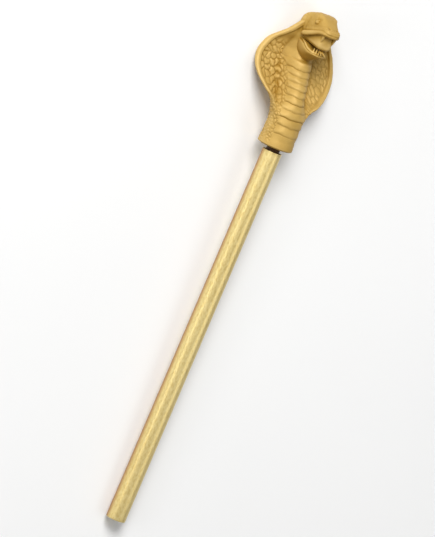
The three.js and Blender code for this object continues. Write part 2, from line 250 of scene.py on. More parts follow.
def round_angles(sides):
    return 2 * math.pi * np.arange(sides) / sides


def mesh_from(name, points, faces):
    """Closed mesh that faces out, from upright millimetres."""
    points = laid(points)
    faces = [tuple(int(i) for i in f) for f in faces]
    three = np.array([f[:3] for f in faces])
    a, b, c = points[three[:, 0]], points[three[:, 1]], points[three[:, 2]]
    volume = np.einsum("ij,ij->i", a, np.cross(b, c)).sum()
    quads = [f for f in faces if len(f) == 4]
    if quads:
        q = np.array(quads)
        a, b, c = points[q[:, 0]], points[q[:, 2]], points[q[:, 3]]
        volume += np.einsum("ij,ij->i", a, np.cross(b, c)).sum()
    if volume < 0:
        faces = [f[::-1] for f in faces]
    mesh = bpy.data.meshes.new(name)
    mesh.from_pydata(points.tolist(), [], faces)
    mesh.validate()
    return mesh


def skinned(name, rings):
    """Closed mesh from an array of rings of points, with a fan over each end."""
    rings = np.asarray(rings, float)
    rows, columns = rings.shape[:2]
    grid = np.arange(rows * columns).reshape(rows, columns)
    here, after = grid, np.roll(grid, -1, axis=1)
    faces = np.stack([here[:-1], after[:-1], after[1:], here[1:]], axis=-1).reshape(-1, 4)
    faces = [tuple(f) for f in faces]
    first, last = rows * columns, rows * columns + 1
    faces += [(b, a, first) for a, b in zip(here[0], after[0])]
    faces += [(a, b, last) for a, b in zip(here[-1], after[-1])]
    ends = [rings[0].mean(axis=0), rings[-1].mean(axis=0)]
    return mesh_from(name, np.vstack([rings.reshape(-1, 3), ends]), faces)


def combined(meshes, operation="UNION"):
    """First mesh joined with the others, or cut by them."""
    base = bpy.data.objects.new("work", meshes[0])
    bpy.context.collection.objects.link(base)
    others = []
    for mesh in meshes[1:]:
        other = bpy.data.objects.new("work_other", mesh)
        bpy.context.collection.objects.link(other)
        others.append(other)
        cut = base.modifiers.new("cut", "BOOLEAN")
        cut.operation = operation
        cut.solver = "MANIFOLD"
        cut.object = other
    graph = bpy.context.evaluated_depsgraph_get()
    result = bpy.data.meshes.new_from_object(base.evaluated_get(graph))
    for made in (base, *others):
        bpy.data.objects.remove(made)
    for mesh in meshes:
        bpy.data.meshes.remove(mesh)
    return result


def coordinates(mesh):
    points = np.empty(len(mesh.vertices) * 3)
    mesh.vertices.foreach_get("co", points)
    return points.reshape(-1, 3)


# Belly bands


def band_grooves():
    grooves = [FIRST_BAND]
    for i in range(BAND_COUNT - 1):
        left = 1 - i / (BAND_COUNT - 2)
        grooves.append(grooves[i] + HIGH_PITCH + (LOW_PITCH - HIGH_PITCH) * left * left)
    return np.array(grooves)


GROOVES = band_grooves()
BAND_LIP = 0.5
BAND_DEPTH = 0.5
BAND_TUCK = 0.15
BAND_PEAK = 0.34
BAND_RISE_POWER = 2.4
BAND_FALL_POWER = 1.5


def band_relief(z):
    """Bands that bulge over the groove below them and run in under the one above."""
    edges = np.append(GROOVES, GROOVES[-1] + LAST_BAND)
    i = np.clip(np.searchsorted(edges, z, side="right") - 1, 0, len(edges) - 2)
    t = (z - edges[i]) / (edges[i + 1] - edges[i])
    rise = 1 - (1 - np.clip(t / BAND_PEAK, 0, 1)) ** BAND_RISE_POWER
    fall = np.clip((t - BAND_PEAK) / (1 - BAND_PEAK), 0, 1) ** BAND_FALL_POWER
    band = -BAND_DEPTH + (BAND_LIP + BAND_DEPTH) * rise - (BAND_LIP + BAND_TUCK) * fall
    return np.where((z < edges[0]) | (z > edges[-1]), 0, band)


# Scales

SCALE_SIZE = 2.6
# How much larger they are out on each lobe
NEAR_LOBE_MORE = 1.9
FAR_LOBE_MORE = 0.2
# How far their middles rise and their borders sink, as shares of their size
SCALE_RISE = 0.22
SCALE_SINK = 0.13
# Where they are scattered: distance from the belly's middle and height, least and most
SCALE_AREA = ((8, -2), (62, 98))
SCALE_TRIES = 9000
# The far lobe's scales are long ones that run out and down
SCALE_SLANT = math.radians(-50)
SCALE_STRETCH = 2.1
ALONG_SCALE = np.array([[math.cos(SCALE_SLANT), math.sin(SCALE_SLANT)]])
SLANT = np.eye(2) - (1 - 1 / SCALE_STRETCH) * ALONG_SCALE.T @ ALONG_SCALE


def scattered(distance, low, high, random, tries, squeeze):
    """Points no closer to each other, once squeezed, than a function of place gives."""
    points = np.zeros((0, 2))
    for p in random.uniform(low, high, (tries, 2)):
        away = (((points - p) @ squeeze) ** 2).sum(axis=1)
        if len(points) == 0 or away.min() >= distance(*p) ** 2:
            points = np.vstack([points, p])
    return points


def cells(places, seeds):
    """Distance to the border of the nearest seed's cell, and that seed's number."""
    border, owner = [], []
    for part in np.array_split(places, max(1, len(places) // 6000)):
        away = np.sqrt(((part[:, None] - seeds[None]) ** 2).sum(axis=2))
        two = np.argpartition(away, 1, axis=1)[:, :2]
        d = np.take_along_axis(away, two, axis=1)
        order = np.argsort(d, axis=1)
        d = np.take_along_axis(d, order, axis=1)
        border.append((d[:, 1] - d[:, 0]) / 2)
        owner.append(np.take_along_axis(two, order, axis=1)[:, 0])
    return np.concatenate(border), np.concatenate(owner)


# Neck and hood

FRONT_COLUMNS = 82
STEP_COLUMNS = 4
RIM_COLUMNS = 5
BEAD_COLUMNS = 12
BACK_COLUMNS = 26
RING_SPACING = 0.45


def half_section(z):
    """Columns of the section from the belly's middle round the rim to the spine, for all heights.

    Gives side, forward, facing (1 front, -1 back), how far inside the rim's step a point is, and
    how far the hood has opened out of the round neck at each height.
    """
    z = z[:, None]
    at = {name: through(stations, z) for name, stations in FORM.items()}
    opened = smooth(ROUND_UP_TO, HOOD_FROM, z)
    bead = RIM_RADIUS * blended(NECK_THICKNESS, 1, opened)
    step = RIM_STEP * blended(NECK_WIDTH, 1, opened)
    flat_to = at["half_width"] - RIM_WIDTH * blended(NECK_WIDTH, 1, opened)
    bow = at["rim_forward"] - at["plate_forward"]

    def middle(side):
        return at["plate_forward"] + bow * (side / at["half_width"]) ** 2

    def bump(x, power, sharp):
        return np.clip(1 - np.abs(x) ** power, 0, 1) ** sharp

    face = at["plate_forward"] + bead - PLATE_INSET
    swelling = at["belly_forward"] - face

    def front(side, sunk):
        swell = swelling * bump(side / at["belly_half_width"], 2.4, 1.6)
        return middle(side) + bead - sunk + swell

    share = np.linspace(0, 1, FRONT_COLUMNS)[None]
    side = [flat_to * share]
    forward = [front(side[0], PLATE_INSET)]
    share = (np.arange(STEP_COLUMNS) + 1)[None] / STEP_COLUMNS
    side.append(flat_to + step * share)
    forward.append(front(side[-1], PLATE_INSET * (1 - smooth(0, 1, share))))
    rim_from, rim_to = flat_to + step, at["half_width"] - bead
    share = (np.arange(RIM_COLUMNS) + 1)[None] / (RIM_COLUMNS + 1)
    side.append(rim_from + (rim_to - rim_from) * share)
    forward.append(front(side[-1], 0))
    angle = np.linspace(0, math.pi, BEAD_COLUMNS)[None]
    side.append(rim_to + bead * np.sin(angle))
    forward.append(middle(rim_to) + bead * np.cos(angle))
    share = (np.arange(BACK_COLUMNS) + 1)[None] / BACK_COLUMNS
    side.append(rim_to * np.cos(share * math.pi / 2))
    spine = at["spine_bulge"] * bump(side[-1] / at["belly_half_width"], 2, 2)
    forward.append(middle(side[-1]) - bead - spine)
    counts = [FRONT_COLUMNS + STEP_COLUMNS + RIM_COLUMNS, BEAD_COLUMNS, BACK_COLUMNS]
    facing = np.concatenate([
        np.ones(counts[0]),
        np.where(angle[0] < math.pi / 2, 1, -1),
        -np.ones(counts[2]),
    ])
    side, forward = np.hstack(side), np.hstack(forward)
    return side, forward, np.broadcast_to(facing, side.shape), flat_to - side, opened


def body_grid(z, radius):
    """Grid of the neck and hood's points, for rings at heights z.

    Also gives each point's signed distance round the section, how far it is inside the rim's step,
    whether it faces front, and the distance at which the belly's bands end.
    """
    side, forward, facing, inside, opened = half_section(z)
    half_width = through(FORM["half_width"], z)[:, None]
    radius = radius[:, None]
    front_reach = radius + through(FORM["belly_forward"], z)[:, None] - NECK_ROUND
    reach = np.where(facing > 0, front_reach, radius)
    depth = reach * np.sqrt(np.clip(1 - (side / half_width) ** 2, 0, 1))
    wide = side + (radius - NECK_ROUND) * side / half_width
    forward = blended(facing * depth, forward, opened)
    step = np.hypot(np.diff(wide, axis=1), np.diff(forward, axis=1))
    along = np.hstack([np.zeros((len(z), 1)), np.cumsum(step, axis=1)])
    mirrored = slice(-2, 0, -1)
    wide = np.hstack([wide, -wide[:, mirrored]])
    forward = np.hstack([forward, forward[:, mirrored]])
    along = np.hstack([along, -along[:, mirrored]])
    inside = np.hstack([inside, inside[:, mirrored]])
    facing = np.hstack([facing, facing[:, mirrored]])
    points = np.dstack([wide, forward, np.broadcast_to(z[:, None], wide.shape)])
    band_to = through(FORM["band_half_width"], z)
    front = slice(0, FRONT_COLUMNS)
    edge = np.array([
        np.interp(b, w, a) for b, w, a in zip(band_to, wide[:, front], along[:, front])
    ])
    return points, along, inside, facing, edge


def grid_normals(points):
    """Normals of a grid of rings, facing out."""
    round_ = np.roll(points, -1, axis=1) - np.roll(points, 1, axis=1)
    up = np.gradient(points, axis=0)
    normal = np.cross(round_, up)
    normal /= np.maximum(np.linalg.norm(normal, axis=2, keepdims=True), 1e-9)
    middle = points.mean(axis=(0, 1))
    if (normal * (points - middle)).sum() < 0:
        normal = -normal
    return normal


def scale_relief(along, z, inside, facing, edge):
    """Relief of the scales beside the belly and round the neck."""
    random = np.random.default_rng(11)
    heights = z[:, 0]
    relief = np.zeros_like(along)
    hood = smooth(34, 46, z)
    for way in (-1, 1):
        here = along * way > 0

        def distance(a, height, way=way):
            large = smooth(2, 9, a - np.interp(height, heights, edge)) * smooth(34, 48, height)
            return SCALE_SIZE + (NEAR_LOBE_MORE if way < 0 else FAR_LOBE_MORE) * float(large)

        squeeze = np.eye(2) if way < 0 else SLANT
        seeds = scattered(distance, *SCALE_AREA, random, SCALE_TRIES, squeeze)
        out, up = np.abs(along[here]), z[here]
        # Waves that bend the straight borders between the cells
        curl = np.stack([
            0.5 * np.sin(0.6 * up + 0.35 * out) + 0.22 * np.sin(1.5 * up - 0.8 * out),
            0.5 * np.sin(0.7 * out - 0.3 * up) + 0.22 * np.sin(1.4 * out + 0.9 * up),
        ], axis=1)
        places = (np.stack([out, up], axis=1) + curl) @ squeeze
        border, owner = cells(places, seeds @ squeeze)
        size = np.array([distance(*p) for p in seeds])[owner]
        lift = random.uniform(0.7, 1.25, len(seeds))[owner]
        shoulder = np.sin(np.clip((border - 0.12) / (0.36 * size), 0, 1) * math.pi / 2)
        relief[here] = size * (SCALE_RISE * lift * shoulder - SCALE_SINK)
    # No scales on the bands, the rim, the hood's back, the collar or under the head
    beside = smooth(0, 0.9, np.abs(along) - edge[:, None])
    clear_of_rim = blended(1, smooth(0, 1.2, inside), hood)
    on_neck = blended(smooth(48, 38, np.abs(along)), 1, hood)
    front = blended(1, np.where(facing > 0, 1, 0), hood)
    low = smooth(1.5, 4, z)
    high = smooth(90, 84, z)
    return relief * beside * clear_of_rim * on_neck * front * low * high


def body_mesh():
    """Neck and hood, from the collar's rounded underside to the top that the skull covers."""
    under = np.linspace(0, math.pi / 2, 10)[:-1]
    heights = [-UNDERSIDE * np.cos(under)]
    widths = [COLLAR_RADIUS * (0.55 + 0.45 * np.sin(under))]
    z = np.arange(0, HOOD_TOP + RING_SPACING / 2, RING_SPACING)
    flare = COLLAR_FLARE * (1 - smooth(COLLAR_EDGE, FLARE_TOP, z))
    heights.append(z)
    widths.append(COLLAR_RADIUS - COLLAR_FLARE + flare)
    z, radius = np.concatenate(heights), np.concatenate(widths)
    points, along, inside, facing, edge = body_grid(z, radius)
    normal = grid_normals(points)
    z = np.broadcast_to(z[:, None], along.shape)
    # Hand-made look: ragged ends of the bands, an uneven front, and bands that aren't quite level
    ragged = 0.35 * np.sin(1.9 * z + 2 * np.sign(along)) + 0.25 * np.sin(3.7 * z)
    on_band = smooth(0.7, -0.5, np.abs(along) - edge[:, None] + ragged)
    uneven = 0.08 * np.sin(0.37 * z + 0.5 * along) + 0.06 * np.sin(0.83 * z - 0.21 * along)
    relief = band_relief(z) * on_band + scale_relief(along, z, inside, facing, edge)
    relief += uneven * smooth(4, 10, z) * smooth(110, 100, z) * (facing > 0)
    points = points + normal * relief[..., None]
    bent = 0.18 * np.sin(0.34 * along + 0.9 * z) + 0.12 * np.sin(0.71 * along - 0.4 * z)
    bent *= smooth(5, 0, np.abs(along) - edge[:, None]) * smooth(5, 12, z) * smooth(84, 76, z)
    points[..., 2] += COLLAR_AT + bent
    return skinned("body", points)


# Head


def shell_rings(form, rings, sides):
    """Rings of a rounded block that runs forward, spaced evenly along its outline in plan."""
    fine = np.linspace(0, math.pi, 2000)[1:-1]
    run = blended(form["back"], form["front"], (1 - np.cos(fine)) / 2)
    end = form["end_shape"]
    width = through(form["half_width"], run) * (1 - np.abs(np.cos(fine)) ** end) ** (1 / end)
    length = np.append(0, np.cumsum(np.hypot(np.diff(run), np.diff(width))))
    turn = np.interp(np.linspace(0, length[-1], rings), length, fine)
    forward = blended(form["back"], form["front"], (1 - np.cos(turn)) / 2)
    close = (1 - np.abs(np.cos(turn)) ** end) ** (1 / end)
    top, bottom = through(form["top"], forward), through(form["bottom"], forward)
    wide = through(form["half_width"], forward) * close
    middle = blended(bottom, top, through(form["widest"], forward))
    angle = round_angles(sides)
    power = 2 / form["squareness"]

    def round_(value):
        return np.sign(value) * np.abs(value) ** power

    rise = round_(np.sin(angle))[None] * close[:, None]
    reach = np.where(rise > 0, (top - middle)[:, None], (middle - bottom)[:, None])
    height = middle[:, None] + rise * reach
    side = wide[:, None] * round_(np.cos(angle))[None]
    return np.dstack([side, np.broadcast_to(forward[:, None], side.shape), height])


def shell(name, form, rings, sides, relief=None):
    """Closed mesh of a rounded block, with a relief where one is given."""
    points = shell_rings(form, rings, sides)
    if relief is not None:
        points = points + grid_normals(points) * relief(points)[..., None]
    points[..., 2] += COLLAR_AT
    return skinned(name, points)


def lip_beads(points):
    """Relief of the rows of small beads that run round the snout over the upper lip."""
    side, forward, height = np.moveaxis(points, -1, 0)
    round_snout = np.arctan2(side, forward - 5) * SNOUT_ROUND
    relief = np.zeros_like(side)
    for row, (level, size, pitch) in enumerate(BEAD_ROWS):
        level = level + 0.12 * (forward - 15)
        across = (round_snout / pitch + row / 2) % 1 - 0.5
        bead = 1 - (across * pitch / size) ** 2 - ((height - level) / size) ** 2
        relief += BEAD_HEIGHT * np.sqrt(np.clip(bead, 0, 1))
    return relief * smooth(7, 11, forward)


def lip_stations():
    """Side, forward, height, half height and place from the end, along the whole lip."""
    u = np.linspace(-1, 1, 2 * LIP_STEPS + 1)
    from_end = (len(LIP) - 1) * (1 - np.abs(u))
    columns = [through([(i, s[c]) for i, s in enumerate(LIP)], from_end) for c in range(4)]
    columns[0] = columns[0] * np.sign(u)
    return np.stack([*columns, from_end], axis=1)


def head_plates(side, forward, height):
    """Relief of the plates on the skull's top and sides, behind the snout."""
    random = np.random.default_rng(5)
    seeds = scattered(lambda *p: PLATE_SPACING, *PLATE_AREA, random, PLATE_TRIES, np.eye(2))
    # The skull's side is folded out level with its top
    across = np.sign(side) * (np.abs(side) + np.clip(123 - height, 0, 40))
    border, owner = cells(np.stack([forward.ravel(), across.ravel()], axis=1), seeds)
    lift = random.uniform(0.5, 1.3, len(seeds))[owner]
    plates = (lift * smooth(0, 1.1, border) * PLATE_HEIGHT).reshape(side.shape)
    return plates * (smooth(7, 0, forward) * smooth(103, 107, height))


def hill(rise, *slopes):
    """Soft rise, or dent, from a value, the place of its top and its spread in each direction."""
    return rise * np.exp(-sum(((value - top) / spread) ** 2 for value, top, spread in slopes))


def head_relief(points):
    """Relief of the skull: plates, beads, the eye's socket, brow, cheek, nostril and lip's edge."""
    side, forward, height = np.moveaxis(points, -1, 0)
    out = np.abs(side)
    socket = hill(-0.9, (forward, 2.5, 2.6), (height, 118.6, 1.6)) * smooth(4, 8, out)
    temple = hill(-0.5, (forward + 9 - 0.15 * (height - 112), 0, 1.1))
    temple *= smooth(102, 106, height) * smooth(119, 114, height) * smooth(6, 9, out)
    brow = hill(1.5, (out, 7, 2.8), (forward, -1, 6), (height, 120.2, 3))
    cheek = hill(2.6, (height, 111.5, 6), (forward, -16, 5)) * smooth(6, 10, out)
    nostril = hill(-0.7, (out, 4.2, 0.9), (forward, 14.5, 1.4)) * smooth(112, 114, height)
    # The skull swells out towards the lip's roll, above it only
    path = lip_stations()[:, :3]
    away = np.linalg.norm(points[:, :, None] - path[None, None], axis=3)
    over = height - path[away.argmin(axis=2), 2]
    flow = 0.9 * smooth(6.5, 2, away.min(axis=2)) * smooth(-0.5, 2, over)
    plates = head_plates(side, forward, height)
    return lip_beads(points) + plates + socket + temple + brow + flow + cheek + nostril


def swept(name, path, out, up, sides):
    """Tube along a path in plan, with its own half width and half height at each point."""
    path, out, up = np.array(path, float), np.asarray(out, float), np.asarray(up, float)
    run = np.gradient(path[:, :2], axis=0)
    run /= np.linalg.norm(run, axis=1, keepdims=True)
    angle = round_angles(sides)
    wide = out[:, None] * np.cos(angle)[None]
    points = np.dstack([
        path[:, :1] + run[:, 1:] * wide,
        path[:, 1:2] - run[:, :1] * wide,
        path[:, 2:] + up[:, None] * np.sin(angle)[None] + COLLAR_AT,
    ])
    return skinned(name, points)


def lip_mesh():
    """Roll of the upper lip, round at both ends."""
    stations = lip_stations()
    half, from_end = stations[:, 3:].T
    end = np.sqrt(np.clip(1 - (1 - np.clip(from_end / LIP_END, 0, 1)) ** 2, 0.02, 1))
    return swept("lip", stations[:, :3], LIP_THICKNESS * end, half * end, 22)


def lower_lip():
    """Roll along the lower jaw's edge, from one corner of the mouth round the front."""
    reach = JAW["front"] - JAW_LIP - JAW_CORNER
    turn = np.linspace(0, math.pi, 90)
    forward = JAW_CORNER + reach * np.sin(turn) ** 0.7
    front = 1 - smooth(JAW["front"] - 3.5, JAW["front"] - JAW_LIP, forward)
    wide = (through(JAW["half_width"], forward) - JAW_LIP) * np.where(
        forward > 4, front ** 0.5, 1
    )
    path = np.stack([
        -np.sign(np.cos(turn)) * wide, forward, through(JAW["top"], forward) - 0.5
    ], axis=1)
    end = np.sqrt(np.clip(np.sin(turn) * 3, 0.05, 1))
    return swept("lower_lip", path, JAW_LIP * end, JAW_LIP * end, 16)


def tooth(name, side, forward, base, length, radius, lean):
    """Pointed tooth that curves back towards its tip. A negative length points down."""
    t = np.linspace(0, 1, 12)
    size = radius * (1 - t) ** 0.6 + 0.05
    angle = round_angles(14)
    x = side + size[:, None] * np.cos(angle)[None]
    y = forward + size[:, None] * np.sin(angle)[None] - lean * (t**2)[:, None]
    z = np.broadcast_to((base + length * t)[:, None], x.shape)
    return skinned(name, np.dstack([x, y, z + COLLAR_AT]))


def tongue_parts():
    """Forked tongue that lies over the front of the lower jaw."""
    t = np.linspace(0, 1, 26)
    tip = smooth(0.62, 1, t)
    forward = TONGUE["from"] + TONGUE["length"] * t
    height = through(JAW["top"], JAW["front"]) + 0.8 + 1.8 * np.sin(t * 3) - 0.6 * tip
    width = blended(TONGUE["width"], TONGUE["tip"], smooth(0.55, 1, t))
    parts = []
    for side in (-1, 1):
        path = np.stack([side * (TONGUE["apart"] + TONGUE["fork"] * tip), forward, height], axis=1)
        parts.append(swept("tongue", path, width, 0.75 * width + 0.1, 14))
    return parts


def lump(name, at, half, tip, sides):
    """Ball stretched to three half sizes, tipped forward by an angle."""
    turn = math.pi * np.arange(1, sides // 2) / (sides // 2)
    angle = round_angles(sides)
    x = np.sin(turn)[:, None] * np.cos(angle)[None] * half[0]
    y = np.sin(turn)[:, None] * np.sin(angle)[None] * half[1]
    z = np.broadcast_to(np.cos(turn)[:, None], x.shape) * half[2]
    y, z = y * math.cos(tip) + z * math.sin(tip), z * math.cos(tip) - y * math.sin(tip)
    return skinned(name, np.dstack([x + at[0], y + at[1], z + at[2] + COLLAR_AT]))


def in_skull(forward, rise):
    """Height in the skull, from its bottom (0) to its top (1)."""
    return float(blended(through(SKULL["bottom"], forward), through(SKULL["top"], forward), rise))


def head_mesh():
    parts = [
        shell("skull", SKULL, 100, 150, head_relief),
        shell("jaw", JAW, 62, 90),
        shell("gum", GUM, 40, 48),
        lip_mesh(),
        lower_lip(),
        *tongue_parts(),
    ]
    eye_height = in_skull(EYE["forward"], EYE["rise"])
    fang_base = in_skull(FANG["forward"], 0) + FANG["root"]
    for side in (-1, 1):
        eye_at = (side * EYE["side"], EYE["forward"], eye_height)
        parts.append(lump("eye", eye_at, [EYE["radius"]] * 3, 0, 32))
        for rise, half in LIDS:
            at = (eye_at[0] - side * LID_INSET, eye_at[1], eye_at[2] + rise)
            parts.append(lump("lid", at, half, LID_TIP * rise, 28))
        parts.append(tooth(
            "fang", side * FANG["side"], FANG["forward"], fang_base, -FANG["length"],
            FANG["radius"], FANG["lean"],
        ))
        for out, forward in TEETH:
            parts.append(tooth("tooth", side * out, forward, **TOOTH))
    return combined(parts)


def cobra_mesh():
    """Body and head as one, with the connector's socket cut out of its underside."""
    whole = combined([body_mesh(), head_mesh()])
    radius = NECK_RADIUS + THREAD_HEIGHT + FIT_GAP
    ends = (COLLAR_AT - UNDERSIDE - 1, COLLAR_AT + (SOCKET_DEPTH - UNDERSIDE))
    socket = turned("socket", [(radius, h) for h in ends], 48)
    return above_floor(combined([whole, socket], "DIFFERENCE"))


# Tube and connector


def turned(name, profile, sides, helix=None):
    """Closed solid of revolution about the tube's axis, from radius and height pairs."""
    profile = np.array(profile, float)
    angle = round_angles(sides)
    radius = np.repeat(profile[:, :1], sides, axis=1)
    height = np.repeat(profile[:, 1:], sides, axis=1)
    if helix is not None:
        radius = radius + helix(angle[None], height)
    rings = np.dstack([radius * np.cos(angle), radius * np.sin(angle), height])
    return skinned(name, rings)


def arc(radius, height, size, start, stop):
    """Profile points of a rounding of a size, about its centre."""
    turn = np.linspace(start, stop, 7)
    return [(radius + size * math.cos(t), height + size * math.sin(t)) for t in turn]


def above_floor(mesh):
    """The mesh, with what would dip through the floor pressed level with it."""
    points = coordinates(mesh)
    points[:, 2] = np.maximum(points[:, 2], 0)
    mesh.vertices.foreach_set("co", points.ravel())
    mesh.update()
    return mesh


def tube_mesh():
    """Tube with a closed foot, and with its mouth's lip rounded inside and out."""
    lip = MOUTH_ROUNDING
    down, level, up = -math.pi / 2, 0, math.pi / 2
    profile = [
        (1, 0),
        *arc(TUBE_RADIUS - FOOT_ROUNDING, FOOT_ROUNDING, FOOT_ROUNDING, down, level),
        *[(TUBE_RADIUS, h) for h in np.linspace(20, TUBE_LENGTH - 20, 9)],
        *arc(TUBE_RADIUS - lip, TUBE_LENGTH - lip, lip, level, up),
        *arc(BORE + lip, TUBE_LENGTH - lip, lip, up, math.pi),
        (BORE, FOOT_THICKNESS),
        (1, FOOT_THICKNESS),
    ]
    return above_floor(turned("tube", profile, 112))


def connector_mesh():
    """Plug and neck in one, with a helical thread on the neck."""
    plug_radius = BORE - FIT_GAP
    plug_bottom = TUBE_LENGTH - PLUG_DEPTH
    plug_top = TUBE_LENGTH - PLUG_RECESS
    neck_top = TUBE_LENGTH + NECK_SHOWN + SOCKET_DEPTH - FIT_GAP
    run = np.arange(plug_top + 0.2, neck_top - 0.2, THREAD_PITCH / 8)
    profile = [
        (1, plug_bottom),
        (plug_radius - PLUG_CHAMFER, plug_bottom),
        (plug_radius, plug_bottom + PLUG_CHAMFER),
        (plug_radius, plug_top),
        *[(NECK_RADIUS, h) for h in run],
        (NECK_RADIUS, neck_top),
        (1, neck_top),
    ]

    def helix(angle, height):
        turn = (height / THREAD_PITCH - angle / (2 * math.pi)) % 1
        ridge = np.clip(1 - np.abs(turn - 0.5) * 2.6, 0, 1)
        low = smooth(plug_top, plug_top + THREAD_PITCH, height)
        high = smooth(neck_top, neck_top - THREAD_PITCH, height)
        return THREAD_HEIGHT * ridge * low * high

    return turned("connector", profile, 48, helix)


# Materials


class Nodes:
    """Small helper that adds nodes to a material and links them."""

    def __init__(self, name):
        self.material = bpy.data.materials.new(name)
        self.material.use_nodes = True
        self.tree = self.material.node_tree
        self.shader = self.tree.nodes["Principled BSDF"]
        self.place = self.add("ShaderNodeTexCoord").outputs["Object"]

    def add(self, kind, inputs=None, **settings):
        """New node with its settings, and with values or links for its inputs."""
        node = self.tree.nodes.new(kind)
        for name, value in settings.items():
            setattr(node, name, value)
        for socket, value in (inputs or {}).items():
            self.put(node.inputs[socket], value)
        return node

    def put(self, socket, value):
        if isinstance(value, bpy.types.NodeSocket):
            self.tree.links.new(value, socket)
        else:
            socket.default_value = value

    def attribute(self, name):
        return self.add("ShaderNodeAttribute", attribute_name=name).outputs["Fac"]

    def noise(self, scale, detail=3.0, roughness=0.55, stretch=None):
        vector = self.place
        if stretch:
            mapping = self.add("ShaderNodeMapping", {"Vector": vector, "Scale": stretch})
            vector = mapping.outputs["Vector"]
        inputs = {"Vector": vector, "Scale": scale, "Detail": detail, "Roughness": roughness}
        return self.add("ShaderNodeTexNoise", inputs).outputs["Fac"]

    def spread(self, value, low, high, to_low=0.0, to_high=1.0):
        """A value's range low to high stretched to another range, and level outside it."""
        inputs = {
            "Value": value, "From Min": low, "From Max": high, "To Min": to_low, "To Max": to_high,
        }
        return self.add("ShaderNodeMapRange", inputs).outputs["Result"]

    def mix(self, share, a, b):
        """Colour a share of the way from a to b."""
        return self.add("ShaderNodeMix", {0: share, 6: a, 7: b}, data_type="RGBA").outputs[2]

    def times(self, value, factor):
        node = self.add("ShaderNodeMath", {0: value, 1: factor}, operation="MULTIPLY")
        return node.outputs[0]

    def bump(self, height, strength, distance, normal=None):
        inputs = {"Height": height, "Strength": strength, "Distance": distance}
        if normal is not None:
            inputs["Normal"] = normal
        return self.add("ShaderNodeBump", inputs).outputs["Normal"]

    def finished(self, **values):
        """The material, with values or links put on its shader."""
        for name, value in values.items():
            self.put(self.shader.inputs[name.replace("_", " ")], value)
        return self.material


def cobra_paint():
    """Matt gold paint, with painted highlight on edges, painted shade in pits, and painted shade
    where other parts stand close, on undersides and over the skull.
    """
    n = Nodes("cobra_gold_paint")
    hollow, painted_shade = n.attribute("hollow"), n.attribute("painted_shade")
    patches = n.noise(55.0, 4.0)
    grain = n.noise(900.0, 2.0)
    base = n.mix(n.spread(patches, 0.35, 0.65), (0.48, 0.30, 0.07, 1), (0.56, 0.365, 0.098, 1))
    base = n.mix(n.spread(grain, 0.3, 0.7, 0, 0.25), base, (0.45, 0.27, 0.06, 1))
    # Painted shade: pits and grooves are darkened towards a deep brown
    pits = n.spread(hollow, 0.51, 0.8)
    base = n.mix(n.times(pits, 0.7), base, (0.22, 0.12, 0.016, 1))
    # Painted highlight: edges and ridges are lightened towards a pale gold
    edges = n.spread(hollow, 0.45, 0.15)
    base = n.mix(n.times(edges, 0.5), base, (0.68, 0.47, 0.17, 1))
    # Painted shade near other parts, under overhangs, on undersides and over the skull, towards a
    # dark brown
    painted_shade_share = n.spread(painted_shade, 0.07, 0.36)
    base = n.mix(n.times(painted_shade_share, 0.8), base, (0.35, 0.185, 0.012, 1))
    rough = n.spread(n.noise(140.0, 3.0), 0.3, 0.7, 0.48, 0.62)
    normal = n.bump(n.noise(420.0, 3.0), 0.12, 0.0004)
    normal = n.bump(grain, 0.08, 0.0002, normal)
    return n.finished(
        Base_Color=base, Roughness=rough, Normal=normal, Metallic=0.15, Specular_IOR_Level=0.3
    )


def tube_coating():
    """Satin gold with fine streaks and mottling, and a warm, dark painted reflection down one side.
    """
    n = Nodes("tube_gold_coating")
    streak = n.noise(45.0, 3.0, 0.5, (0.08, 1.0, 1.0))
    mottle = n.noise(620.0, 4.0, 0.6, (0.5, 1.0, 1.0))
    base = n.mix(n.spread(streak, 0.3, 0.7), (0.72, 0.54, 0.195, 1), (0.82, 0.66, 0.28, 1))
    base = n.mix(n.spread(mottle, 0.4, 0.72, 0, 0.45), base, (0.93, 0.80, 0.42, 1))
    base = n.mix(n.spread(mottle, 0.5, 0.25, 0, 0.45), base, (0.60, 0.42, 0.12, 1))
    # Painted dark reflection: the side that faces down towards the floor goes towards a warm dark
    # brown
    normal = n.add("ShaderNodeNewGeometry").outputs["Normal"]
    painted_reflection_side = tuple(turned_vector(*TUBE_PAINTED_REFLECTION_SIDE))
    facing = n.add("ShaderNodeVectorMath", {0: normal, 1: painted_reflection_side}, operation="DOT_PRODUCT")
    painted_reflection_share = n.spread(facing.outputs["Value"], 0.62, 0.95)
    base = n.mix(n.times(painted_reflection_share, 0.85), base, (0.36, 0.15, 0.04, 1))
    rough = n.spread(mottle, 0.3, 0.7, 0.34, 0.46)
    normal = n.bump(mottle, 0.08, 0.0002)
    return n.finished(Base_Color=base, Roughness=rough, Normal=normal, Metallic=0.55)


def connector_plastic():
    n = Nodes("connector_brown_plastic")
    cloud = n.noise(240.0, 4.0)
    base = n.mix(n.spread(cloud, 0.3, 0.7), (0.055, 0.024, 0.007, 1), (0.10, 0.045, 0.012, 1))
    rough = n.spread(cloud, 0.3, 0.7, 0.42, 0.6)
    normal = n.bump(n.noise(900.0, 2.0), 0.1, 0.0002)
    return n.finished(Base_Color=base, Roughness=rough, Normal=normal)


def floor_paint():
    n = Nodes("floor_pale")
    cloud = n.noise(1.2, 3.0)
    base = n.mix(n.spread(cloud, 0.3, 0.7), (0.88, 0.88, 0.875, 1), (0.91, 0.91, 0.905, 1))
    return n.finished(Base_Color=base, Roughness=0.85)


def point_normals(mesh):
    normal = np.empty(len(mesh.vertices) * 3)
    mesh.vertex_normals.foreach_get("vector", normal)
    return normal.reshape(-1, 3)


def put_attribute(mesh, name, value):
    attribute = mesh.attributes.new(name, "FLOAT", "POINT")
    attribute.data.foreach_set("value", value.astype(np.float32))


